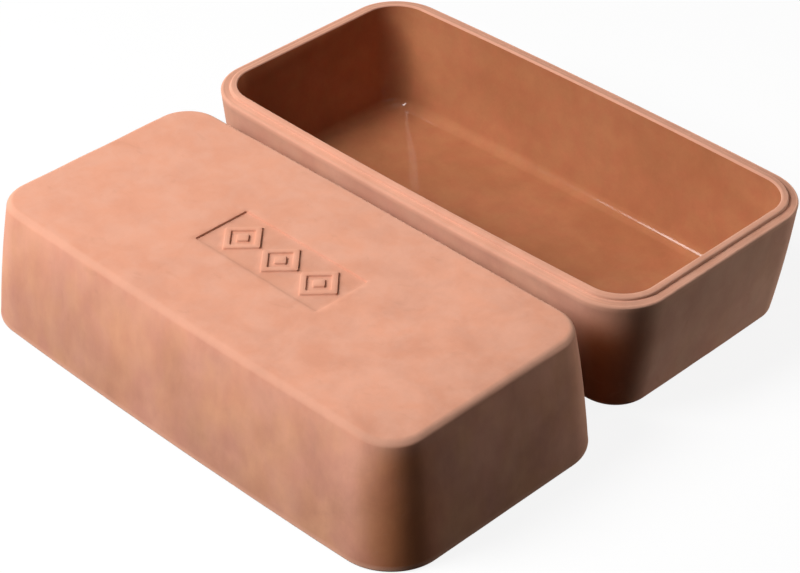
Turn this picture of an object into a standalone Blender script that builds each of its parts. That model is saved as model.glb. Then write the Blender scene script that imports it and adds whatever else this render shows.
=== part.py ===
"""Covered stoneware bread baker: a deep rectangular base and a lid of the same plan, set down beside it.

Both pieces are one profile carried round one rounded-rectangle outline, whose long sides bow out a little.
The base stands mouth up, glazed inside, with a raised lip inside a flat ledge all round its rim.
The lid stands mouth down beside it. Its rim has the matching step: its outer land sits on the ledge,
and the rebate inside that land clears the lip. A shallow panel with raised lozenges marks the lid's top.

The origin is under the middle of the base, +X runs along the pieces and +Z is up. The lid lies on the -Y
side and lifts straight up along +Z.
"""

import math

import bmesh
import bpy

MM = 0.001

# The plan of both pieces at the rim
LENGTH = 330.0 * MM
WIDTH = 169.0 * MM
RIM_CORNER_RADIUS = 31.5 * MM
SIDE_BOW = 2.9 * MM  # how far the middle of a long side stands out beyond its ends

# The walls, from the rim down to the foot
BASE_TAPER = 9.8 * MM  # how far the foot lies inside the rim
LID_TAPER = 10.0 * MM
WALL_BULGE = 0.9 * MM  # how far the wall stands out of a straight slope at half its height
FLOOR_FILLET = 4.5 * MM  # inside, where the wall meets the floor

# The base
LEDGE_HEIGHT = 73.8 * MM
BASE_FLOOR_THICKNESS = 8.5 * MM
FOOT_FILLET = 4.0 * MM
LEDGE_WIDTH = 5.5 * MM
LEDGE_EDGE_ROUND = 0.8 * MM
LIP_THICKNESS = 4.4 * MM
LIP_HEIGHT = 2.2 * MM
LIP_OUTER_ROUND = 0.5 * MM
LIP_INNER_ROUND = 1.2 * MM

# The lid
LID_HEIGHT = 74.8 * MM
LID_TOP_THICKNESS = 8.5 * MM
LID_TOP_FILLET = 4.5 * MM
LID_RIM_ROUND = 1.5 * MM
SEAT_SIDE_CLEARANCE = 0.4 * MM  # between the lid's land and the side of the lip
SEAT_TOP_CLEARANCE = 0.3 * MM  # between the lid's rebate and the top of the lip
LID_STANDOFF = 0.5 * MM  # between the two rims, seen from above, where the lid is set down

# The mark on the lid's top
PANEL_LENGTH = 93.5 * MM
PANEL_WIDTH = 37.0 * MM
PANEL_CORNER_RADIUS = 1.0 * MM
PANEL_DEPTH = 1.0 * MM
LOZENGE_COUNT = 3
LOZENGE_LENGTH = 27.5 * MM
LOZENGE_WIDTH = 29.0 * MM
LOZENGE_GAP = 2.0 * MM
LOZENGE_BAR = 3.4 * MM
STUD_LENGTH = 9.0 * MM
STUD_WIDTH = 9.5 * MM
MARK_HEIGHT = 0.9 * MM  # how far the lozenges stand up from the panel's floor

# How finely the curved stretches are divided
CORNER_STEPS = 10
LONG_SIDE_STEPS = 10
WALL_STEPS = 6
FILLET_STEPS = 4
EDGE_STEPS = 2
SHARP_ANGLE = math.radians(35)

WALL_THICKNESS = LEDGE_WIDTH + LIP_THICKNESS
CLAY, GLAZE = 0, 1


def clear_scene():
    for obj in list(bpy.data.objects):
        bpy.data.objects.remove(obj, do_unlink=True)


def principled(name, colour, roughness):
    material = bpy.data.materials.new(name)
    material.use_nodes = True
    shader = material.node_tree.nodes["Principled BSDF"]
    shader.inputs["Base Color"].default_value = (*colour, 1.0)
    shader.inputs["Roughness"].default_value = roughness
    material.diffuse_color = (*colour, 1.0)
    return material


def piece_materials(name):
    """Bare fired clay outside and on the rim, and a glossy brown glaze inside."""
    clay = principled(f"{name}_clay", (0.62, 0.32, 0.21), 0.85)
    glaze = principled(f"{name}_glaze", (0.42, 0.15, 0.07), 0.15)
    return clay, glaze


def arc(start, end, steps):
    """The angles from start to end, in degrees, both ends included."""
    return [math.radians(start + (end - start) * i / steps) for i in range(steps + 1)]


def outline(inset, z):
    """The rim's outline drawn inwards by inset, as points at height z, anticlockwise from the +X side."""
    half_length = LENGTH / 2 - inset
    half_width = WIDTH / 2 - inset
    radius = RIM_CORNER_RADIUS - inset
    corner_x = half_length - radius
    corner_y = half_width - radius
    corner = [(math.cos(a), math.sin(a)) for a in arc(0, 90, CORNER_STEPS)]
    quarter = [(corner_x + radius * x, corner_y + radius * y) for x, y in corner]
    top_side = [(corner_x * (1 - 2 * i / LONG_SIDE_STEPS), half_width) for i in range(1, LONG_SIDE_STEPS)]
    half = quarter + top_side + [(-x, y) for x, y in reversed(quarter)]
    points = half + [(-x, -y) for x, y in half]
    bow = SIDE_BOW / half_width
    return [(x, y * (1 - bow * (x / half_length) ** 2), z) for x, y in points]


def wall_inset(z, height, taper):
    """How far inside the rim the outer face of a wall lies, z above the foot of a wall of this height."""
    share = min(z / height, 1.0)
    return taper * (1 - share) - 4 * WALL_BULGE * share * (1 - share)


def foot_profile(height, taper, fillet):
    """(inset, z) from the flat under a piece, round its fillet, to where the wall proper starts."""
    points = []
    for angle in arc(0, 90, FILLET_STEPS):
        z = fillet * (1 - math.cos(angle))
        points.append((wall_inset(z, height, taper) + fillet * (1 - math.sin(angle)), z))
    return points


def wall_profile(height, taper, start, end):
    """(inset, z) up the wall's outer face, start and end left out."""
    heights = [start + (end - start) * i / WALL_STEPS for i in range(1, WALL_STEPS)]
    return [(wall_inset(z, height, taper), z) for z in heights]


def outer_round(inset, top, radius):
    """(inset, z) over a rounded edge, from the wall's face up onto a flat at height top."""
    turns = arc(0, 90, EDGE_STEPS)
    return [(inset + radius * (1 - math.cos(a)), top - radius * (1 - math.sin(a))) for a in turns]


def inner_round(inset, top, radius):
    """(inset, z) over a rounded edge, from a flat at height top down the face at inset."""
    turns = arc(0, 90, EDGE_STEPS)
    return [(inset - radius * (1 - math.sin(a)), top - radius * (1 - math.cos(a))) for a in turns]


def inside_profile(height, taper, top, floor):
    """(inset, z) down the inner face, from below top to the floor, round the fillet between them."""

    def inner(z):
        return WALL_THICKNESS + wall_inset(z, height, taper)

    bottom = floor + FLOOR_FILLET
    heights = [top + (bottom - top) * i / WALL_STEPS for i in range(1, WALL_STEPS)]
    points = [(inner(z), z) for z in heights]
    for angle in arc(0, 90, FILLET_STEPS):
        z = floor + FLOOR_FILLET * (1 - math.sin(angle))
        points.append((inner(z) + FLOOR_FILLET * (1 - math.cos(angle)), z))
    return points


def base_profiles():
    """The base's bare profile, from its foot to the lip's top, and its glazed one, down to the floor."""
    height = LEDGE_HEIGHT
    lip_top = LEDGE_HEIGHT + LIP_HEIGHT
    bare = foot_profile(height, BASE_TAPER, FOOT_FILLET)
    bare += wall_profile(height, BASE_TAPER, FOOT_FILLET, height - LEDGE_EDGE_ROUND)
    bare += outer_round(0.0, height, LEDGE_EDGE_ROUND)
    bare += [(LEDGE_WIDTH, height)]
    bare += outer_round(LEDGE_WIDTH, lip_top, LIP_OUTER_ROUND)
    glazed = inner_round(WALL_THICKNESS, lip_top, LIP_INNER_ROUND)
    glazed += inside_profile(height, BASE_TAPER, lip_top - LIP_INNER_ROUND, BASE_FLOOR_THICKNESS)
    return bare, glazed


def lid_profiles():
    """The lid's two profiles, drawn mouth up: from its flat top to the rebate, and down its inside."""
    height = LID_HEIGHT
    rebate_top = height - LIP_HEIGHT - SEAT_TOP_CLEARANCE
    land_width = LEDGE_WIDTH - SEAT_SIDE_CLEARANCE
    bare = foot_profile(height, LID_TAPER, LID_TOP_FILLET)
    bare += wall_profile(height, LID_TAPER, LID_TOP_FILLET, height - LID_RIM_ROUND)
    bare += outer_round(0.0, height, LID_RIM_ROUND)
    bare += [(land_width, height), (land_width, rebate_top)]
    glazed = inner_round(WALL_THICKNESS, rebate_top, LIP_INNER_ROUND)
    glazed += inside_profile(height, LID_TAPER, rebate_top - LIP_INNER_ROUND, LID_TOP_THICKNESS)
    return bare, glazed


def carried_round(name, bare, glazed):
    """An object made of its profile's rings, joined one to the next, with a flat face at each end."""
    mesh = bpy.data.meshes.new(name)
    shape = bmesh.new()
    profile = bare + glazed
    rings = [[shape.verts.new(point) for point in outline(inset, z)] for inset, z in profile]
    for number, (low, high) in enumerate(zip(rings, rings[1:])):
        slot = CLAY if number < len(bare) else GLAZE
        for i in range(len(low)):
            j = (i + 1) % len(low)
            shape.faces.new((low[i], low[j], high[j], high[i])).material_index = slot
    shape.faces.new(list(reversed(rings[0]))).material_index = CLAY
    shape.faces.new(rings[-1]).material_index = GLAZE
    bmesh.ops.recalc_face_normals(shape, faces=shape.faces)
    shape.to_mesh(mesh)
    shape.free()
    mesh.shade_smooth()
    mesh.set_sharp_from_angle(angle=SHARP_ANGLE)
    for material in piece_materials(name):
        mesh.materials.append(material)
    obj = bpy.data.objects.new(name, mesh)
    bpy.context.scene.collection.objects.link(obj)
    return obj


def prism(shape, points, bottom, top):
    """Adds an upright prism to shape, its points anticlockwise."""
    low = [shape.verts.new((x, y, bottom)) for x, y in points]
    high = [shape.verts.new((x, y, top)) for x, y in points]
    for i in range(len(points)):
        j = (i + 1) % len(points)
        shape.faces.new((low[i], low[j], high[j], high[i]))
    shape.faces.new(list(reversed(low)))
    shape.faces.new(high)


def helper(name, shape, parent):
    """A hidden object made from shape, placed with parent, for a Boolean to use."""
    mesh = bpy.data.meshes.new(name)
    bmesh.ops.recalc_face_normals(shape, faces=shape.faces)
    shape.to_mesh(mesh)
    shape.free()
    obj = bpy.data.objects.new(name, mesh)
    bpy.context.scene.collection.objects.link(obj)
    obj.parent = parent
    obj.hide_render = True
    obj.display_type = "WIRE"
    return obj


def lozenge(centre_x, length, width):
    half_length, half_width = length / 2, width / 2
    return [
        (centre_x + half_length, 0.0),
        (centre_x, half_width),
        (centre_x - half_length, 0.0),
        (centre_x, -half_width),
    ]


def frame_prism(shape, outer, inner, bottom, top):
    """Adds a prism with a matching hole through it: outer and inner have one point for one point."""
    section = ((outer, bottom), (outer, top), (inner, top), (inner, bottom))
    rings = [[shape.verts.new((x, y, z)) for x, y in ring] for ring, z in section]
    for low, high in zip(rings, rings[1:] + rings[:1]):
        for i in range(len(low)):
            j = (i + 1) % len(low)
            shape.faces.new((low[i], low[j], high[j], high[i]))


def panel_cutter(lid):
    """The panel's hollow. In the lid's own frame its top faces down, at z = 0."""
    shape = bmesh.new()
    x, y = PANEL_LENGTH / 2 - PANEL_CORNER_RADIUS, PANEL_WIDTH / 2 - PANEL_CORNER_RADIUS
    points = []
    for centre_x, centre_y, start in ((x, y, 0), (-x, y, 90), (-x, -y, 180), (x, -y, 270)):
        for angle in arc(start, start + 90, EDGE_STEPS):
            point_x = centre_x + PANEL_CORNER_RADIUS * math.cos(angle)
            point_y = centre_y + PANEL_CORNER_RADIUS * math.sin(angle)
            points.append((point_x, point_y))
    prism(shape, points, -PANEL_DEPTH, PANEL_DEPTH)
    return helper("panel_cutter", shape, lid)


def raised_lozenges(lid):
    """A row of lozenge frames with a stud in each, standing on the panel's floor and rooted below it."""
    shape = bmesh.new()
    root = PANEL_DEPTH + MARK_HEIGHT / 2
    top = PANEL_DEPTH - MARK_HEIGHT
    pitch = LOZENGE_LENGTH + LOZENGE_GAP
    bar_share = 1 - 2 * LOZENGE_BAR * math.hypot(1 / LOZENGE_LENGTH, 1 / LOZENGE_WIDTH)
    for number in range(LOZENGE_COUNT):
        centre_x = (number - (LOZENGE_COUNT - 1) / 2) * pitch
        outer = lozenge(centre_x, LOZENGE_LENGTH, LOZENGE_WIDTH)
        inner = lozenge(centre_x, LOZENGE_LENGTH * bar_share, LOZENGE_WIDTH * bar_share)
        frame_prism(shape, outer, inner, top, root)
        prism(shape, lozenge(centre_x, STUD_LENGTH, STUD_WIDTH), top, root)
    return helper("lozenge_former", shape, lid)


def boolean(obj, other, operation):
    modifier = obj.modifiers.new(other.name, "BOOLEAN")
    modifier.operation = operation
    modifier.solver = "EXACT"
    modifier.object = other


def make_base():
    return carried_round("base", *base_profiles())


def make_lid():
    """The lid, drawn mouth up and turned over, with its origin on the line along which it lifts."""
    lid = carried_round("lid", *lid_profiles())
    lid.location = (0.0, -(WIDTH + LID_STANDOFF), LID_HEIGHT)
    lid.rotation_euler = (math.pi, 0.0, 0.0)
    boolean(lid, panel_cutter(lid), "DIFFERENCE")
    boolean(lid, raised_lozenges(lid), "UNION")
    return lid


def main():
    clear_scene()
    make_base()
    make_lid()
    bpy.context.view_layer.update()


main()
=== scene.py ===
"""Looks of the covered bread baker: a base, mouth up, and its lid set down beside it, mouth down.

Both pieces are swept again from the solids' own sizes, in far finer steps, with the small
unevenness of pressed clay. Outside they are bare fired clay, inside a glossy brown glaze.
"""

import math

import bpy
import numpy as np
from mathutils import Matrix, Vector
from mathutils.geometry import delaunay_2d_cdt


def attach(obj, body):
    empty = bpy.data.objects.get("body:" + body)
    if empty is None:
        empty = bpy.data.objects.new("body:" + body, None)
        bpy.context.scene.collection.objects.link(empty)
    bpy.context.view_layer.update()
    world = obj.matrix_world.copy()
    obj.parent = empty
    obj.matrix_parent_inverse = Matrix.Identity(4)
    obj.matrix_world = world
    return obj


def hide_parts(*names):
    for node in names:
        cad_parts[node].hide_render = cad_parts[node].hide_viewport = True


MM = 0.001

# Sizes that the solids have, in millimetres
LENGTH = 330.0
WIDTH = 169.0
RIM_CORNER_RADIUS = 31.5
SIDE_BOW = 2.9
BASE_TAPER = 9.8
LID_TAPER = 10.0
WALL_BULGE = 0.9
LEDGE_HEIGHT = 73.8
BASE_FLOOR_THICKNESS = 8.5
FOOT_FILLET = 4.0
LEDGE_WIDTH = 5.5
LIP_THICKNESS = 4.4
LIP_HEIGHT = 2.2
LIP_INNER_ROUND = 1.2
LID_HEIGHT = 74.8
LID_TOP_THICKNESS = 8.5
LID_RIM_ROUND = 1.5
SEAT_SIDE_CLEARANCE = 0.4
SEAT_TOP_CLEARANCE = 0.3
LID_STANDOFF = 0.5
WALL_THICKNESS = LEDGE_WIDTH + LIP_THICKNESS
LID_Y = -(WIDTH + LID_STANDOFF)

# Sizes in which these pieces differ a little from the solids: glaze rounds the inner fillets, wear
# softens the base's rim, its lip falls towards the outer edge, and the lid's top edge is tighter
GLAZED_FILLET = 6.0
WORN_LEDGE_ROUND = 1.4
WORN_LIP_ROUND = 0.8
LIP_FALL = 0.5
LID_TOP_FILLET = 3.6
# The hollow in which the ledge meets the lip
SEAM_ROUND = 0.35
# How far the long sides bow out at each piece's closed end
CLOSED_BOW = {"base": 2.9, "lid": 1.2}

# The mark on the lid's top, slightly deeper than the solid's
PANEL_LENGTH = 93.5
PANEL_WIDTH = 37.0
PANEL_DEPTH = 1.2
PANEL_CORNER_RADIUS = 1.0
PANEL_POINT_SPACING = 2.5
LOZENGE_COUNT = 3
LOZENGE_LENGTH = 27.5
LOZENGE_WIDTH = 29.0
LOZENGE_GAP = 2.0
LOZENGE_BAR = 3.4
LOZENGE_OUTER_RADIUS = 1.0
LOZENGE_INNER_RADIUS = 0.7
LOZENGE_POINT_SPACING = 2.0
STUD_LENGTH = 9.0
STUD_WIDTH = 9.5
STUD_RADIUS = 0.8
MARK_HEIGHT = 1.12
# The corners of the mark's lines: the smallest radius, and the steps round each
SMALLEST_RADIUS = 0.08
ARC_STEPS = 4
# The opening inside a lozenge's bar, as a share of the lozenge
OPENING_SHARE = 1 - 2 * LOZENGE_BAR * math.hypot(1 / LOZENGE_LENGTH, 1 / LOZENGE_WIDTH)
# Across a moulded edge: distance out from its middle, and share of its height
EDGE_SECTION = ((0.26, 0.0), (0.16, 0.06), (0.08, 0.2), (-0.08, 0.8), (-0.16, 0.94), (-0.26, 1.0))

# How finely the outline is divided
CORNER_STEPS = 28
LONG_STEPS = 220
END_STEPS = 84

# How an end is filled: the grid's spacing, its stagger and its distance from the ring as shares
# of that, its distance from the mark's lines, how near two points count as one, and the kind of
# triangulation, which keeps only what lies inside the ring
FILL_SPACING = 3.6
FILL_STAGGER = 0.25
FILL_MARGIN = 0.6
LINE_MARGIN = 1.3
MERGE_DISTANCE = 1e-5
KEEP_INSIDE = 1

# Unevenness in millimetres: how deep it goes, and its bumps' width and seed
BROAD_DEPTH, BROAD_BUMPS = 0.10, (90, 11)
SMALL_DEPTH, SMALL_BUMPS = 0.04, (22, 12)
SHOULDER_DEPTH, SHOULDER_BUMPS = 0.22, (26, 13)
GROOVE_DEPTH, GROOVE_BUMPS = 0.05, (1.6, 14)
# The shoulder is where the normal's height is near a level, below a height over the closed end
SHOULDER_LEVEL, SHOULDER_SPREAD, SHOULDER_TOP = 0.65, 0.3, 10
# A ripple is a sum of waves whose lengths lie between these shares of its width, divided by the
# peak so that it seldom goes past 1
RIPPLE_WAVES = 48
RIPPLE_WIDTHS = (0.7, 1.6)
RIPPLE_PEAK = 1.6
# Stretches a pattern into lines that run along the rim
ALONG_RIM = (0.02, 0.02, 1.0)

# How worn the flats of the rim are, and the sharpest edge that is shaded smooth
FLAT_WORN = 0.4
SHARP_ANGLE = math.radians(50)
CLAY, GLAZE = 0, 1


def skeleton():
    """The points that outlines are offset from, each with its direction of offset."""
    corner_x = LENGTH / 2 - RIM_CORNER_RADIUS
    corner_y = WIDTH / 2 - RIM_CORNER_RADIUS
    along_end = np.linspace(-corner_y, corner_y, END_STEPS, endpoint=False)
    along_side = np.linspace(corner_x, -corner_x, LONG_STEPS, endpoint=False)
    turn = np.linspace(0, math.pi / 2, CORNER_STEPS, endpoint=False)
    half = []
    for x, y, out_x, out_y in (
        (corner_x, along_end, 1, 0),
        (corner_x, corner_y, np.cos(turn), np.sin(turn)),
        (along_side, corner_y, 0, 1),
        (-corner_x, corner_y, -np.sin(turn), np.cos(turn)),
    ):
        half.append(np.stack(np.broadcast_arrays(x, y, out_x, out_y), 1).astype(float))
    half = np.concatenate(half)
    return np.concatenate([half, -half])


SKELETON = skeleton()


def outline(inset, bow=SIDE_BOW):
    """The rim's outline drawn inwards by inset, anticlockwise, in millimetres."""
    points = SKELETON[:, :2] + (RIM_CORNER_RADIUS - inset) * SKELETON[:, 2:]
    share = points[:, 0] / (LENGTH / 2 - inset)
    reach = 1 - (SIDE_BOW - bow + bow * share**2) / (WIDTH / 2 - inset)
    points[:, 1] *= reach
    return points


def ripple(points, width, seed):
    """A share from 0 to 1 that varies smoothly over points, with bumps about half of width wide."""
    rng = np.random.default_rng(seed)
    directions = rng.normal(size=(RIPPLE_WAVES, 3))
    directions /= np.linalg.norm(directions, axis=1)[:, None]
    numbers = 2 * math.pi / (width * rng.uniform(*RIPPLE_WIDTHS, RIPPLE_WAVES))
    phases = rng.uniform(0, 2 * math.pi, RIPPLE_WAVES)
    heights = np.cos(points @ (directions * numbers[:, None]).T + phases)
    waves = heights.sum(1) * math.sqrt(2 / RIPPLE_WAVES) / RIPPLE_PEAK
    return 0.5 + 0.5 * np.clip(waves, -1, 1)


# A profile is a list of stations: inset, height, and how far from 0 to 1 the surface there is a
# wall, a worn edge, or a flat of the rim


def wall_inset(z, height, taper):
    """How far the outside at height z lies in from the rim: a slope that bulges halfway up."""
    share = np.clip(z / height, 0, 1)
    return taper * (1 - share) - 4 * WALL_BULGE * share * (1 - share)


def quarter_turn(steps):
    return np.linspace(0, math.pi / 2, steps + 1)


def foot(height, taper, fillet, steps):
    """From the closed end round its edge to the wall."""
    rows = []
    for i in range(steps + 1):
        angle = math.pi / 2 * i / steps
        z = fillet * (1 - math.cos(angle))
        inset = wall_inset(z, height, taper) + fillet * (1 - math.sin(angle))
        rows.append((inset, z, (i / steps) ** 3, math.sin(math.pi * i / steps), 0))
    return rows


def outer_wall(height, taper, start, end, steps):
    heights = np.linspace(start, end, steps + 1)[1:-1]
    return [(wall_inset(z, height, taper), z, 1, 0, 0) for z in heights]


def over_edge(inset, top, radius, steps):
    """Round an edge from a wall up onto a flat at height top."""
    rows = []
    for angle in quarter_turn(steps):
        across, down = radius * (1 - math.cos(angle)), radius * (1 - math.sin(angle))
        rows.append((inset + across, top - down, 0, 1, 0))
    return rows


def flat(start, end, z, steps):
    return [(inset, z, 0, FLAT_WORN, 1) for inset in np.linspace(start, end, steps + 1)[1:-1]]


def down_edge(inset, top, radius, steps):
    """Round an edge from a flat at height top down the face at inset."""
    rows = []
    for angle in quarter_turn(steps):
        across, down = radius * (1 - math.sin(angle)), radius * (1 - math.cos(angle))
        rows.append((inset - across, top - down, 0, 1, 0))
    return rows


def inner_wall(height, taper, top, floor, steps, fillet_steps):
    """From height top down the inside and round the fillet to the floor."""
    heights = np.linspace(top, floor + GLAZED_FILLET, steps)[1:-1]
    rows = [(WALL_THICKNESS + wall_inset(z, height, taper), z, 0, 0, 0) for z in heights]
    for angle in quarter_turn(fillet_steps):
        z = floor + GLAZED_FILLET * (1 - math.sin(angle))
        inset = WALL_THICKNESS + wall_inset(z, height, taper)
        rows.append((inset + GLAZED_FILLET * (1 - math.cos(angle)), z, 0, 0, 0))
    return rows


def base_stations():
    """The base's two profiles, bare and glazed."""
    lip_top = LEDGE_HEIGHT + LIP_HEIGHT
    inner_top = lip_top - LIP_INNER_ROUND
    crest = WALL_THICKNESS - LIP_INNER_ROUND
    seam = LEDGE_WIDTH - SEAM_ROUND
    wall_top = LEDGE_HEIGHT - WORN_LEDGE_ROUND
    bare = foot(LEDGE_HEIGHT, BASE_TAPER, FOOT_FILLET, steps=10)
    bare += outer_wall(LEDGE_HEIGHT, BASE_TAPER, FOOT_FILLET, wall_top, steps=24)
    bare += over_edge(0, LEDGE_HEIGHT, WORN_LEDGE_ROUND, steps=8)
    bare += flat(WORN_LEDGE_ROUND, seam, LEDGE_HEIGHT, steps=9)
    for angle in quarter_turn(3):
        rise = SEAM_ROUND * (1 - math.cos(angle))
        bare.append((seam + SEAM_ROUND * math.sin(angle), LEDGE_HEIGHT + rise, 0, 1, 0))
    lip = over_edge(LEDGE_WIDTH, lip_top, WORN_LIP_ROUND, steps=6)
    lip += flat(LEDGE_WIDTH + WORN_LIP_ROUND, crest, lip_top, steps=8)
    for inset, z, *shares in lip:
        fall = LIP_FALL * ((crest - inset) / (crest - LEDGE_WIDTH)) ** 2
        bare.append((inset, z - fall, *shares))
    # The glaze begins at the last station but one of the lip's inner round
    turned = down_edge(WALL_THICKNESS, lip_top, LIP_INNER_ROUND, steps=8)
    bare += turned[:-2]
    glazed = turned[-2:]
    glazed += inner_wall(
        LEDGE_HEIGHT, BASE_TAPER, inner_top, BASE_FLOOR_THICKNESS, steps=20, fillet_steps=16
    )
    return bare, glazed


def lid_stations():
    """The lid's two profiles, bare and glazed, drawn mouth up."""
    rebate_top = LID_HEIGHT - LIP_HEIGHT - SEAT_TOP_CLEARANCE
    inner_top = rebate_top - LIP_INNER_ROUND
    land = LEDGE_WIDTH - SEAT_SIDE_CLEARANCE
    wall_top = LID_HEIGHT - LID_RIM_ROUND
    bare = foot(LID_HEIGHT, LID_TAPER, LID_TOP_FILLET, steps=14)
    bare += outer_wall(LID_HEIGHT, LID_TAPER, LID_TOP_FILLET, wall_top, steps=26)
    bare += over_edge(0, LID_HEIGHT, LID_RIM_ROUND, steps=8)
    bare += flat(LID_RIM_ROUND, land, LID_HEIGHT, steps=5)
    bare += [(land, LID_HEIGHT, 0, 1, 0), (land, rebate_top, 0, 1, 0)]
    glazed = down_edge(WALL_THICKNESS, rebate_top, LIP_INNER_ROUND, steps=6)
    glazed += inner_wall(
        LID_HEIGHT, LID_TAPER, inner_top, LID_TOP_THICKNESS, steps=14, fillet_steps=8
    )
    return bare, glazed


def rounded_polygon(corners, offset, radius, spacing):
    """A convex polygon's outline moved out by offset, with rounded corners and spaced points."""
    corners = np.array(corners, float)
    count = len(corners)
    sides = np.roll(corners, -1, 0) - corners
    sides /= np.linalg.norm(sides, axis=1)[:, None]
    outward = np.stack([sides[:, 1], -sides[:, 0]], 1)
    radius = max(radius + offset, SMALLEST_RADIUS)
    arcs = []
    for i in range(count):
        before, after = outward[i - 1], outward[i]
        # The arc's centre lies offset - radius out from both sides that meet here
        reach = (before + after) / (1 + before @ after)
        centre = corners[i] + reach * (offset - radius)
        turn = math.acos(np.clip(before @ after, -1, 1))
        start = math.atan2(before[1], before[0])
        angles = start + np.linspace(0, turn, ARC_STEPS + 1)
        arcs.append(centre + radius * np.stack([np.cos(angles), np.sin(angles)], 1))
    points = []
    for i in range(count):
        points.append(arcs[i])
        gap_start, gap_end = arcs[i][-1], arcs[(i + 1) % count][0]
        pieces = max(1, int(np.linalg.norm(gap_end - gap_start) / spacing))
        shares = np.arange(1, pieces) / pieces
        points.append(gap_start + shares[:, None] * (gap_end - gap_start))
    return np.concatenate(points)


def lozenge(length, width):
    return [(length / 2, 0), (0, width / 2), (-length / 2, 0), (0, -width / 2)]


def lozenge_centres():
    """Where the middles of the lozenges lie along the panel."""
    pitch = LOZENGE_LENGTH + LOZENGE_GAP
    return [(number - (LOZENGE_COUNT - 1) / 2) * pitch for number in range(LOZENGE_COUNT)]


def mark_lines():
    """The lines of the lid's mark, as (points, depth below the top)."""
    x, y = PANEL_LENGTH / 2, PANEL_WIDTH / 2
    rectangle = [(x, -y), (x, y), (-x, y), (-x, -y)]
    lines = []
    for offset, share in EDGE_SECTION:
        line = rounded_polygon(rectangle, offset, PANEL_CORNER_RADIUS, PANEL_POINT_SPACING)
        lines.append((line, PANEL_DEPTH * share))
    outer = lozenge(LOZENGE_LENGTH, LOZENGE_WIDTH)
    inner = lozenge(LOZENGE_LENGTH * OPENING_SHARE, LOZENGE_WIDTH * OPENING_SHARE)
    stud = lozenge(STUD_LENGTH, STUD_WIDTH)
    shapes = (
        (outer, LOZENGE_OUTER_RADIUS, 1),
        (inner, LOZENGE_INNER_RADIUS, -1),
        (stud, STUD_RADIUS, 1),
    )
    for centre in lozenge_centres():
        for shape, radius, side in shapes:
            for offset, share in EDGE_SECTION:
                line = rounded_polygon(shape, offset * side, radius, LOZENGE_POINT_SPACING)
                lines.append((line + (centre, 0), PANEL_DEPTH - MARK_HEIGHT * share))
    return lines


def mark_depth(points):
    """How deep the mark lies at points that are clear of its lines."""
    panel = (np.abs(points[:, 0]) < PANEL_LENGTH / 2) & (np.abs(points[:, 1]) < PANEL_WIDTH / 2)
    depth = np.where(panel, PANEL_DEPTH, 0.0)
    for centre in lozenge_centres():
        share = np.abs(points[:, 0] - centre) / (LOZENGE_LENGTH / 2)
        share = share + np.abs(points[:, 1]) / (LOZENGE_WIDTH / 2)
        raised = (share < 1) & (share > OPENING_SHARE) | (share < STUD_LENGTH / LOZENGE_LENGTH)
        depth = np.where(raised, PANEL_DEPTH - MARK_HEIGHT, depth)
    return depth


def grid_inside(ring):
    """A staggered grid of points inside a convex ring."""
    sides = np.roll(ring, -1, 0) - ring
    span = ring.max(0) - ring.min(0)
    counts = np.ceil(span / FILL_SPACING).astype(int)
    xs, ys = (np.linspace(-span[i] / 2, span[i] / 2, counts[i]) for i in (0, 1))
    grid = np.stack(np.meshgrid(xs, ys), -1).reshape(-1, 2)
    odd_row = np.arange(len(grid)) // counts[0] % 2
    grid[:, 0] += np.where(odd_row, FILL_STAGGER, -FILL_STAGGER) * FILL_SPACING
    reach = grid[:, None] - ring[None]
    cross = sides[None, :, 0] * reach[..., 1] - sides[None, :, 1] * reach[..., 0]
    distance = (cross / np.linalg.norm(sides, axis=1)).min(1)
    return grid[distance > FILL_MARGIN * FILL_SPACING]


def fill(ring, lines=()):
    """Points, depths and triangles over the inside of a convex ring, along lines where given.

    The ring's points come first.
    """
    points = [ring] + [line for line, depth in lines]
    depths = [np.zeros(len(ring))] + [np.full(len(line), depth) for line, depth in lines]
    edges = []
    start = 0
    for line in points:
        numbers = start + np.arange(len(line))
        edges += zip(numbers.tolist(), np.roll(numbers, -1).tolist())
        start += len(line)
    grid = grid_inside(ring)
    if lines:
        near = np.concatenate(points[1:])
        distance = np.linalg.norm(grid[:, None] - near[None], axis=2).min(1)
        grid = grid[distance > LINE_MARGIN]
    points.append(grid)
    depths.append(mark_depth(grid) if lines else np.zeros(len(grid)))
    points = np.concatenate(points)
    corners = [Vector(point) for point in points]
    result = delaunay_2d_cdt(corners, edges, [], KEEP_INSIDE, MERGE_DISTANCE, True)
    faces, origins = result[2:4]
    triangles = [[origins[i][0] for i in face] for face in faces]
    return points, np.concatenate(depths), triangles


def unrolled(rows):
    """Coordinates for patterns on the rings: round the piece along a circle, and up the profile."""
    rim_line = outline(0)
    lengths = np.linalg.norm(np.roll(rim_line, -1, 0) - rim_line, axis=1)
    angle = 2 * math.pi * np.concatenate([[0], np.cumsum(lengths)[:-1]]) / lengths.sum()
    radius = lengths.sum() / (2 * math.pi)
    around = np.stack([radius * np.cos(angle), radius * np.sin(angle)], 1)
    steps = np.hypot(np.diff(rows[:, 0]), np.diff(rows[:, 1]))
    travel = np.concatenate([[0], np.cumsum(steps)])
    return np.column_stack([np.tile(around, (len(rows), 1)), np.repeat(travel, len(around))])


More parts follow.
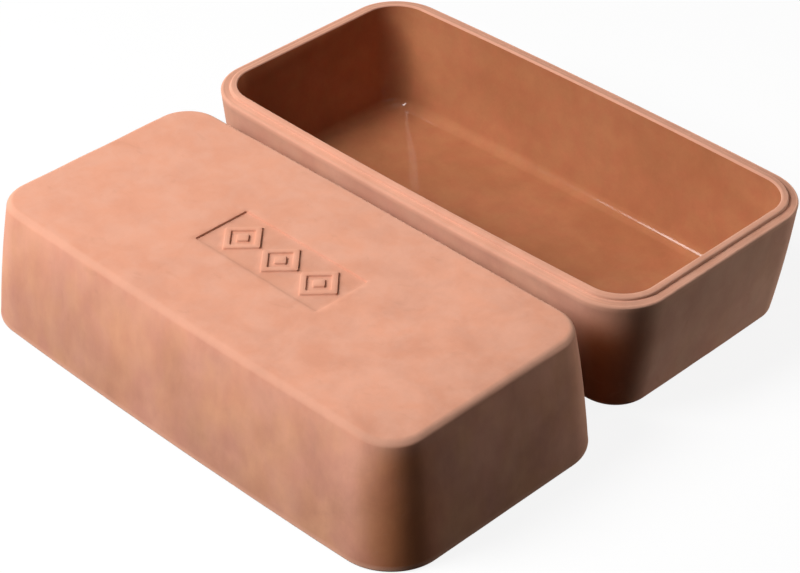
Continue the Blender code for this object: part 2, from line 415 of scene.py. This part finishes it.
def swept(name, stations, materials, closed_bow, lines=()):
    """A closed piece, mouth up: the outline swept through its stations, filled at both ends."""
    bare, glazed = stations
    mouth = max(z for inset, z, *shares in bare)
    rows = np.array(bare + glazed, float)
    count = len(SKELETON)

    def ring(inset, z):
        return outline(inset, closed_bow + (SIDE_BOW - closed_bow) * z / mouth)

    rings = [np.column_stack([ring(inset, z), np.full(count, z)]) for inset, z in rows[:, :2]]
    points = [np.concatenate(rings)]
    sweep = [unrolled(rows)]
    # The columns are wall, worn, rim and sunk
    shares = [np.pad(np.repeat(rows[:, 2:], count, 0), ((0, 0), (0, 1)))]
    faces, slots = [], []
    number = np.arange(count)
    after = np.roll(number, -1)
    for i in range(len(rows) - 1):
        low, high = i * count, (i + 1) * count
        quads = np.stack([low + number, low + after, high + after, high + number], 1)
        faces += quads.tolist()
        slots += [CLAY if i < len(bare) else GLAZE] * count
    total = len(rows) * count
    ends = ((0, rows[0], lines, -1, CLAY), (total - count, rows[-1], (), 1, GLAZE))
    for start, row, end_lines, side, slot in ends:
        inset, z = row[:2]
        flat_points, depths, triangles = fill(ring(inset, z), end_lines)
        extra, depth = flat_points[count:], depths[count:]
        points.append(np.column_stack([extra, z - side * depth]))
        sweep.append(np.column_stack([extra, np.full(len(extra), z)]))
        shares.append(np.column_stack([np.zeros((len(extra), 3)), depth / PANEL_DEPTH]))
        shift = total - count
        for triangle in triangles:
            corners = [start + i if i < count else shift + i for i in triangle]
            faces.append(corners if side > 0 else corners[::-1])
            slots.append(slot)
        total += len(extra)
    points, sweep, shares = (np.concatenate(parts) for parts in (points, sweep, shares))
    wall, worn, rim, sunk = shares.T
    mesh = bpy.data.meshes.new(name)
    mesh.from_pydata((points * MM).tolist(), [], faces)
    mesh.polygons.foreach_set("material_index", slots)
    for material in materials:
        mesh.materials.append(material)
    mesh.update()
    unevenness(mesh, points, np.maximum(wall, worn), rim, sweep)
    for key, values in (("wall", wall), ("worn", worn), ("rim", rim), ("sunk", sunk)):
        share = mesh.attributes.new(key, "FLOAT", "POINT")
        share.data.foreach_set("value", values.astype(np.float32))
    placed = mesh.attributes.new("sweep", "FLOAT_VECTOR", "POINT")
    placed.data.foreach_set("vector", (sweep * MM).astype(np.float32).ravel())
    mesh.shade_smooth()
    mesh.set_sharp_from_angle(angle=SHARP_ANGLE)
    return mesh


def unevenness(mesh, points, outside, rim, sweep):
    """Moves the surface in by a few tenths of a millimetre, here more and there less."""
    normals = np.zeros(len(points) * 3, np.float32)
    mesh.vertex_normals.foreach_get("vector", normals)
    normals = normals.reshape(-1, 3).astype(float)
    level = np.abs(normals[:, 2])
    turning = np.exp(-(((level - SHOULDER_LEVEL) / SHOULDER_SPREAD) ** 2))
    shoulder = SHOULDER_DEPTH * turning * outside * (points[:, 2] < SHOULDER_TOP)
    depth = BROAD_DEPTH * ripple(points, *BROAD_BUMPS)
    depth = depth + SMALL_DEPTH * ripple(points, *SMALL_BUMPS)
    depth = depth + shoulder * ripple(points, *SHOULDER_BUMPS)
    depth = depth + GROOVE_DEPTH * rim * ripple(sweep * ALONG_RIM, *GROOVE_BUMPS)
    moved = (points - normals * depth[:, None]) * MM
    mesh.vertices.foreach_set("co", moved.astype(np.float32).ravel())
    mesh.update()


# A noise's seed moves it this much along X, Y and Z
SEED_MOVES = (1, 1.7, 0.6)
# Where the mix node has its colours among its inputs and outputs
MIX_COLOURS_IN, MIX_COLOUR_OUT = (6, 7), 2


class Tree:
    """Adds nodes to a node tree and joins them."""

    def __init__(self, tree):
        self.tree = tree

    def add(self, kind, **settings):
        node = self.tree.nodes.new(kind)
        for key, value in settings.items():
            setattr(node, key, value)
        return node

    def put(self, value, socket):
        if isinstance(value, bpy.types.NodeSocket):
            self.tree.links.new(value, socket)
        else:
            socket.default_value = value

    def axes(self, vector):
        node = self.add("ShaderNodeSeparateXYZ")
        self.put(vector, node.inputs[0])
        return {axis: node.outputs[axis] for axis in "XYZ"}

    def maths(self, operation, a, b=0.0, c=0.0):
        node = self.add("ShaderNodeMath", operation=operation)
        for value, socket in zip((a, b, c), node.inputs):
            self.put(value, socket)
        return node.outputs[0]

    def times(self, a, b):
        return self.maths("MULTIPLY", a, b)

    def spread(self, value, low, high, start=0.0, end=1.0):
        """Goes smoothly from start, where value is low, to end, where it is high.

        Low may be the larger of the two.
        """
        node = self.add("ShaderNodeMapRange", interpolation_type="SMOOTHSTEP")
        self.put(value, node.inputs["Value"])
        limits = (("From Min", low), ("From Max", high), ("To Min", start), ("To Max", end))
        for key, number in limits:
            node.inputs[key].default_value = number
        return node.outputs[0]

    def seen_directly(self):
        """1 for camera, glossy and transmission rays."""
        path = self.add("ShaderNodeLightPath")
        total = path.outputs["Is Camera Ray"]
        for output in ("Is Glossy Ray", "Is Transmission Ray"):
            total = self.maths("MAXIMUM", total, path.outputs[output])
        return total

    def diffuse(self, grey):
        node = self.add("ShaderNodeBsdfDiffuse")
        self.put((grey, grey, grey, 1), node.inputs["Color"])
        return node.outputs[0]

    def mixed(self, factor, first, second):
        """The first shader where factor is 0, the second where it is 1."""
        node = self.add("ShaderNodeMixShader")
        for value, socket in zip((factor, first, second), node.inputs):
            self.put(value, socket)
        return node.outputs[0]


class Look(Tree):
    """A piece's material."""

    def __init__(self, name):
        self.material = bpy.data.materials.new(name)
        self.material.use_nodes = True
        super().__init__(self.material.node_tree)

    def attribute(self, name, output="Fac"):
        return self.add("ShaderNodeAttribute", attribute_name=name).outputs[output]

    def place(self):
        return self.add("ShaderNodeTexCoord").outputs["Object"]

    def vector_maths(self, operation, vector, other):
        node = self.add("ShaderNodeVectorMath", operation=operation)
        self.put(vector, node.inputs[0])
        self.put(other, node.inputs["Scale" if operation == "SCALE" else 1])
        return node.outputs[0]

    def noise(self, vector, size, detail, roughness, distortion, seed):
        """Noise from about 0 to 1 with features about size metres wide."""
        moved = self.vector_maths("ADD", vector, [seed * share for share in SEED_MOVES])
        node = self.add("ShaderNodeTexNoise")
        self.put(moved, node.inputs["Vector"])
        self.put(1 / size, node.inputs["Scale"])
        self.put(detail, node.inputs["Detail"])
        self.put(roughness, node.inputs["Roughness"])
        self.put(distortion, node.inputs["Distortion"])
        return node.outputs[0]

    def noises(self, table, shift, **coordinates):
        """Each noise in a table, by name."""
        made = {}
        for name, (lies_on, stretch, *settings, seed) in table.items():
            vector = self.vector_maths("MULTIPLY", coordinates[lies_on], stretch)
            made[name] = self.noise(vector, *settings, shift + seed)
        return made

    def vary(self, value, noise, strength, where=1.0):
        """Value plus noise about zero, strength high from its trough to its crest."""
        part = self.times(self.maths("SUBTRACT", noise, 0.5), strength)
        return self.maths("MULTIPLY_ADD", part, where, value)

    def blend(self, factor, a, b, kind="MIX"):
        node = self.add("ShaderNodeMix", data_type="RGBA", blend_type=kind)
        self.put(factor, node.inputs[0])
        for value, number in zip((a, b), MIX_COLOURS_IN):
            colour = value if isinstance(value, bpy.types.NodeSocket) else (*value, 1.0)
            self.put(colour, node.inputs[number])
        return node.outputs[MIX_COLOUR_OUT]

    def bump(self, height, distance, normal=None):
        node = self.add("ShaderNodeBump")
        node.inputs["Strength"].default_value = 1.0
        node.inputs["Distance"].default_value = distance
        self.put(height, node.inputs["Height"])
        if normal is not None:
            self.put(normal, node.inputs["Normal"])
        return node.outputs[0]

    def dressed(self, inputs):
        """The material, with values or sockets put into its shader's inputs."""
        shader = self.tree.nodes["Principled BSDF"]
        for key, value in inputs.items():
            self.put(value, shader.inputs[key])
        return self.material


CLAY_PALE = (0.752, 0.394, 0.275)
CLAY_WARM = (0.750, 0.366, 0.242)
CLAY_WORN = (0.765, 0.416, 0.292)
CLAY_SMUDGE = (0.600, 0.290, 0.186)
# Multiplied onto the colour, on walls and on the rest
REDDER_WALL = (1.0, 0.94, 0.96)
REDDER_FLAT = (0.99, 0.965, 0.955)
# Each piece's walls: two tints, brightness at the closed end and at the mouth, how strongly they
# are stained, and how much darker they are towards the right. The brightness from closed end to
# mouth is painted shade: the lid's walls are lighter near its top and darker towards its mouth on
# the floor, the base's walls darker towards their rim, where the lid shades them. Then its front
# right corner, darkened with painted shade where it lies in shade: the tint, and where it begins
# and is full along X, Y and Z, in metres.
CLAY_LOOKS = {
    "base": {
        "tan": (0.700, 0.373, 0.253),
        "mauve": (0.697, 0.380, 0.268),
        "closed_end": 1.0,
        "mouth": 0.90,
        "staining": 0.55,
        "darker_right": 0.0,
        "corner_shade_tint": (0.47, 0.26, 0.13),
        "corner_in_shade": {"X": (0.110, 0.145), "Y": (-0.0465, -0.0785), "Z": (0.078, 0.042)},
    },
    "lid": {
        "tan": (0.715, 0.361, 0.221),
        "mauve": (0.708, 0.354, 0.248),
        "closed_end": 1.05,
        "mouth": 0.89,
        "staining": 0.90,
        "darker_right": 0.035,
        "corner_shade_tint": (0.81, 0.61, 0.43),
        "corner_in_shade": {"X": (0.132, 0.158), "Y": (-0.2020, -0.2360), "Z": (0.080, 0.060)},
    },
}
# Other differences over the clay: the axis, and where along it they begin and are full, in metres
PARTS = {
    "blotchy": ("X", -0.10, 0.13),
    "wall_right": ("X", -0.06, 0.08),
    "rim_left": ("X", -0.130, -0.155),
    "rim_far": ("Y", 0.055, 0.078),
    "ledge": ("Z", 0.0752, 0.0743),
    "ledge_right": ("X", 0.130, 0.155),
    "flat_right": ("X", 0.10, 0.155),
    "flat_left": ("X", 0.0, -0.12),
}
# How strong the clouds are at the left and at the right
BLOTCHINESS = (0.8, 1.9)
# Walls take their tint over this height above the closed end, and are stained more from this far
# out along X
WALL_BEGINS = (0.0, 0.024)
WALL_ENDS = (0.135, 0.160)
WALL_ENDS_STAINING = 1.15
# Shares of a noise between which a feature goes from none to full, and how strong it is
TWO_TINTS = (0.3, 0.7)
REDDER_STAINS = (0.66, 0.34)
REDDER_CLOUDS = (0.60, 0.34)
SMUDGE_EDGES, SMUDGE_STRENGTH = (0.60, 0.72), 0.20
POOL_EDGES, POOL_STRENGTH = (0.35, 0.70), 0.40
WORN_STRENGTH = 0.8
# Each noise: what it lies on and how that is stretched, the width of its features in metres,
# detail, roughness, distortion and seed
EVEN = (1.0, 1.0, 1.0)
CLAY_NOISES = {
    "clouds": ("place", EVEN, 0.024, 5, 0.60, 0.3, 0),
    "broad": ("sweep", (1.0, 1.0, 0.8), 0.048, 3, 0.50, 0.4, 29),
    "stains": ("sweep", (1.0, 1.0, 0.7), 0.020, 6, 0.55, 0.15, 3),
    "patches": ("sweep", (1.0, 1.0, 0.7), 0.026, 3, 0.50, 0.1, 31),
    "smudges": ("place", (0.8, 1.1, 1.0), 0.017, 3, 0.60, 1.5, 7),
    "tint": ("place", EVEN, 0.016, 4, 0.60, 0.4, 11),
    "pits": ("place", EVEN, 0.0045, 3, 0.60, 0.3, 23),
    "grain": ("place", EVEN, 0.0011, 3, 0.65, 0.0, 13),
    "streaks": ("sweep", (1.0, 1.0, 0.1), 0.0026, 3, 0.60, 0.2, 17),
    "lines": ("sweep", ALONG_RIM, 0.0011, 3, 0.60, 0.0, 19),
}
GLAZE_COLOUR = (0.434, 0.172, 0.0805)
GLAZE_BLUSH = (0.438, 0.157, 0.0765)
GLAZE_DARK = (0.349, 0.119, 0.050)
# Painted light: the glaze is made brighter over this height, up its inner walls towards the rim
GLAZE_BRIGHTENED_SPAN = (0.02, 0.07)
GLAZE_NOISES = {
    "pools": ("place", EVEN, 0.06, 3, 0.50, 0.3, 0),
    "mottle": ("place", EVEN, 0.016, 4, 0.60, 0.2, 15),
    "blush": ("place", EVEN, 0.012, 3, 0.55, 0.2, 21),
    "peel": ("place", EVEN, 0.007, 2, 0.50, 0.0, 9),
    "flecks": ("place", EVEN, 0.0015, 2, 0.60, 0.0, 5),
}


def clay(name, shift, look):
    """Bare fired clay, drawn smooth by hand: cloudy, with faint smudges, stains and fine grain."""
    n = Look(name)
    place = n.place()
    sweep = n.attribute("sweep", "Vector")
    wall, worn, rim, sunk = (n.attribute(key) for key in ("wall", "worn", "rim", "sunk"))
    not_wall = n.maths("SUBTRACT", 1.0, wall)
    along = n.axes(place)
    up_wall = n.axes(sweep)["Z"]
    noise = n.noises(CLAY_NOISES, shift, place=place, sweep=sweep)
    levels = {"blotchy": BLOTCHINESS, "wall_right": (0.0, -look["darker_right"])}
    part = {}
    for key, (axis, begins, full) in PARTS.items():
        part[key] = n.spread(along[axis], begins, full, *levels.get(key, ()))

    colour = n.blend(n.spread(noise["tint"], *TWO_TINTS), CLAY_PALE, CLAY_WARM)
    tinted = n.spread(n.vary(up_wall, noise["stains"], 0.03), *WALL_BEGINS, 0.2, 1.0)
    # Walls take their own tints, darker and redder than the top's clay: partly the clay's own
    # colour, partly painted shade for walls that take less light than the top
    walls = n.blend(n.spread(noise["patches"], *TWO_TINTS), look["tan"], look["mauve"])
    colour = n.blend(n.times(wall, tinted), colour, walls)
    # Painted shade: the front right corner is darkened where it lies in shade, on the base where
    # the lid shades it, and on the lid where its front turns away from the light
    corner_in_shade = wall
    for axis, span in look["corner_in_shade"].items():
        corner_in_shade = n.times(corner_in_shade, n.spread(along[axis], *span))
    colour = n.blend(corner_in_shade, colour, look["corner_shade_tint"], "MULTIPLY")
    smudges = n.times(n.spread(noise["smudges"], *SMUDGE_EDGES), SMUDGE_STRENGTH)
    colour = n.blend(smudges, colour, CLAY_SMUDGE)
    redder = n.times(n.spread(noise["stains"], *REDDER_STAINS), wall)
    colour = n.blend(redder, colour, REDDER_WALL, "MULTIPLY")
    redder = n.times(n.spread(noise["clouds"], *REDDER_CLOUDS), not_wall)
    colour = n.blend(redder, colour, REDDER_FLAT, "MULTIPLY")
    colour = n.blend(n.times(worn, WORN_STRENGTH), colour, CLAY_WORN)

    staining = (look["staining"], WALL_ENDS_STAINING * look["staining"])
    stained = n.times(wall, n.spread(n.maths("ABSOLUTE", along["X"]), *WALL_ENDS, *staining))
    # Brightness: patterns about 1, then what is brighter or darker in one place
    shade = 1.0
    for pattern, strength, where in (
        ("clouds", 0.16, part["blotchy"]),
        ("stains", 0.36, stained),
        ("broad", 0.34, stained),
        ("streaks", 0.05, stained),
        ("lines", 0.32, rim),
        ("grain", 0.05, 1.0),
    ):
        shade = n.vary(shade, noise[pattern], strength, where)
    # Painted shade: walls brighter or darker by height, from closed end to mouth, lighter near the
    # lid's top and darker by its foot, darker by the base's rim where the lid shades it
    brightness = (look["closed_end"] - 1, look["mouth"] - 1)
    height_shade = n.spread(up_wall, 0.0, LID_HEIGHT * MM, *brightness)
    rim_part = n.maths("MAXIMUM", part["rim_left"], part["rim_far"])
    ledge_part = n.times(part["ledge"], part["ledge_right"])
    for amount, where in (
        (n.maths("ADD", height_shade, part["wall_right"]), wall),
        # Painted shade in the mark's recess
        (-0.06, sunk),
        (-0.015, worn),
        (-0.20, n.times(rim_part, rim)),
        (-0.12, n.times(ledge_part, rim)),
        (-0.08, n.times(part["flat_right"], not_wall)),
        (0.018, n.times(part["flat_left"], not_wall)),
    ):
        shade = n.maths("MULTIPLY_ADD", where, amount, shade)

    # Bumps, with their heights in metres
    normal = None
    for height, distance in (
        (noise["pits"], 0.00005),
        (n.times(noise["streaks"], wall), 0.00003),
        (n.times(noise["lines"], rim), 0.00012),
        (noise["grain"], 0.00002),
    ):
        normal = n.bump(height, distance, normal)
    return n.dressed(
        {
            "Base Color": n.vector_maths("SCALE", colour, shade),
            "Roughness": n.spread(noise["clouds"], 0.2, 0.8, 0.80, 0.90),
            "Normal": normal,
            "Diffuse Roughness": 0.6,
            "Specular IOR Level": 0.08,
        }
    )


def glaze(name, shift):
    """Glossy brown glaze."""
    n = Look(name)
    place = n.place()
    noise = n.noises(GLAZE_NOISES, shift, place=place)
    pools = n.spread(noise["pools"], *POOL_EDGES)
    colour = n.blend(n.spread(noise["blush"], *TWO_TINTS), GLAZE_COLOUR, GLAZE_BLUSH)
    colour = n.blend(n.times(pools, POOL_STRENGTH), colour, GLAZE_DARK)
    shade = n.vary(1.0, noise["flecks"], 0.10)
    shade = n.vary(shade, noise["mottle"], 0.30)
    # Painted light: the glaze brighter by up to 0.07 towards the rim
    shade = n.maths("ADD", n.spread(n.axes(place)["Z"], *GLAZE_BRIGHTENED_SPAN, 0.0, 0.07), shade)
    return n.dressed(
        {
            "Base Color": n.vector_maths("SCALE", colour, shade),
            "Roughness": n.spread(pools, 0, 1, 0.06, 0.10),
            "Normal": n.bump(noise["peel"], 0.00002),
            "Specular IOR Level": 0.24,
        }
    )


def add_object(name, data):
    made = bpy.data.objects.new(name, data)
    bpy.context.scene.collection.objects.link(made)
    return made


def make_pieces():
    """One fine piece for each node, each riding on its body and shown in its place."""
    turned = Matrix.Rotation(math.pi, 4, "X")
    set_down = Matrix.Translation((0, LID_Y * MM, LID_HEIGHT * MM)) @ turned
    for node, stations, lines, shift, placing in (
        ("base", base_stations(), (), 1.0, Matrix()),
        ("lid", lid_stations(), mark_lines(), 2.3, set_down),
    ):
        bare = clay(f"{node}_clay_look", shift, CLAY_LOOKS[node])
        materials = (bare, glaze(f"{node}_glaze_look", shift))
        mesh = swept(f"baker_{node}", stations, materials, CLOSED_BOW[node], lines)
        mesh.transform(placing)
        piece = add_object(f"baker_{node}", mesh)
        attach(piece, node)
        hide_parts(node)


def direction(azimuth, elevation):
    """Towards an azimuth, anticlockwise from the front seen from above, and an elevation."""
    turn, rise = math.radians(azimuth), math.radians(elevation)
    return Vector(
        (math.sin(turn) * math.cos(rise), -math.cos(turn) * math.cos(rise), math.sin(rise))
    )


# The camera looks at this point from this direction, in degrees, and distance, in metres
TARGET = Vector((27.818, -108.081, 40.0)) * MM
AZIMUTH, ELEVATION, ROLL = 44.8364, 35.7405, math.radians(0.0515)
DISTANCE = 1314.8 * MM
LENS = 108.88
SENSOR_WIDTH = 36.0
CLIP_START, CLIP_END = 0.05, 60.0


def add_camera():
    data = bpy.data.cameras.new("camera")
    data.sensor_fit = "HORIZONTAL"
    data.sensor_width = SENSOR_WIDTH
    data.lens = LENS
    data.clip_start = CLIP_START
    data.clip_end = CLIP_END
    back = direction(AZIMUTH, ELEVATION)
    right = Vector((0, 0, 1)).cross(back).normalized()
    up = back.cross(right)
    across = right * math.cos(ROLL) + up * math.sin(ROLL)
    upward = up * math.cos(ROLL) - right * math.sin(ROLL)
    matrix = Matrix((across, upward, back)).transposed().to_4x4()
    matrix.translation = TARGET + back * DISTANCE
    camera = add_object("camera", data)
    camera.matrix_world = matrix
    bpy.context.scene.camera = camera


WHITE = (1.0, 1.0, 1.0)
# Each lamp: azimuth and elevation that its light comes from, in degrees, distance, width and height
# in metres, power in watts, and colour
LAMPS = {
    "key": (330.5, 46.5, 2.2, 0.95, 1.5, 64.5, WHITE),
    "above": (0.0, 78.0, 2.0, 2.0, 2.0, 5.0, WHITE),
    "low": (142.0, 2.0, 0.8, 0.4, 0.10, 2.5, (0.95, 1.0, 0.98)),
}
LIT_POINT = Vector((0.0, -0.085, 0.04))
AMBIENT = 0.012
AMBIENT_COLOUR = (1.0, 0.72, 0.45)
# The white walls give way to the ceiling between these heights of a direction of length 1
CEILING_BEGINS = (0.30, 0.50)
CEILING = 0.04
# The floor lies just under the pieces. It is seen white, with a share of a pale surface that takes
# their shadow, and it throws back less light onto them than white would.
FLOOR_REACH = 12.0
FLOOR_Z = -0.0002
FLOOR_PALE = 0.95
FLOOR_BOUNCE = 0.03
SHADOW = 0.12


def add_lamps():
    for name, (azimuth, elevation, distance, width, height, power, colour) in LAMPS.items():
        data = bpy.data.lights.new(name, "AREA")
        data.shape = "ELLIPSE"
        data.size = width
        data.size_y = height
        data.energy = power
        data.color = colour
        lamp = add_object(name, data)
        towards = direction(azimuth, elevation)
        lamp.location = LIT_POINT + towards * distance
        lamp.rotation_euler = towards.to_track_quat("Z", "Y").to_euler()
        lamp.visible_camera = False


def add_world():
    """White walls all round, seen directly and in reflections, under a dark ceiling."""
    world = bpy.data.worlds.new("studio")
    bpy.context.scene.world = world
    world.use_nodes = True
    n = Tree(world.node_tree)
    ambient = n.tree.nodes["Background"]
    n.put((*AMBIENT_COLOUR, 1), ambient.inputs["Color"])
    n.put(AMBIENT, ambient.inputs["Strength"])
    white = n.add("ShaderNodeBackground")
    n.put((*WHITE, 1), white.inputs["Color"])
    upward = n.axes(n.add("ShaderNodeTexCoord").outputs["Generated"])["Z"]
    n.put(n.spread(upward, *CEILING_BEGINS, 1.0, CEILING), white.inputs["Strength"])
    surface = n.mixed(n.seen_directly(), ambient.outputs[0], white.outputs[0])
    n.put(surface, n.tree.nodes["World Output"].inputs["Surface"])


def add_floor():
    """A pale floor that is seen white, with the pieces' soft shadow on it."""
    mesh = bpy.data.meshes.new("floor")
    sides = ((-1, -1), (1, -1), (1, 1), (-1, 1))
    corners = [(x * FLOOR_REACH, y * FLOOR_REACH, FLOOR_Z) for x, y in sides]
    mesh.from_pydata(corners, [], [(0, 1, 2, 3)])
    material = bpy.data.materials.new("floor")
    material.use_nodes = True
    n = Tree(material.node_tree)
    n.tree.nodes.remove(n.tree.nodes["Principled BSDF"])
    white = n.add("ShaderNodeEmission")
    n.put(1.0, white.inputs["Strength"])
    shown = n.mixed(SHADOW, white.outputs[0], n.diffuse(FLOOR_PALE))
    surface = n.mixed(n.seen_directly(), n.diffuse(FLOOR_BOUNCE), shown)
    n.put(surface, n.tree.nodes["Material Output"].inputs["Surface"])
    mesh.materials.append(material)
    floor = add_object("floor", mesh)


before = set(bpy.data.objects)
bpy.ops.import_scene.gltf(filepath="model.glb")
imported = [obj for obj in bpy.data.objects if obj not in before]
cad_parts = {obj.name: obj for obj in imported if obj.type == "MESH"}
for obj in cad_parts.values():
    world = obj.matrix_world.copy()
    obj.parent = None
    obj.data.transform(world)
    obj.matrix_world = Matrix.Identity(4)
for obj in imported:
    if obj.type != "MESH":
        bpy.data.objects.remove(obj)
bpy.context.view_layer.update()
make_pieces()
add_camera()
add_lamps()
add_world()
add_floor()
bpy.context.scene.view_settings.view_transform = "Standard"
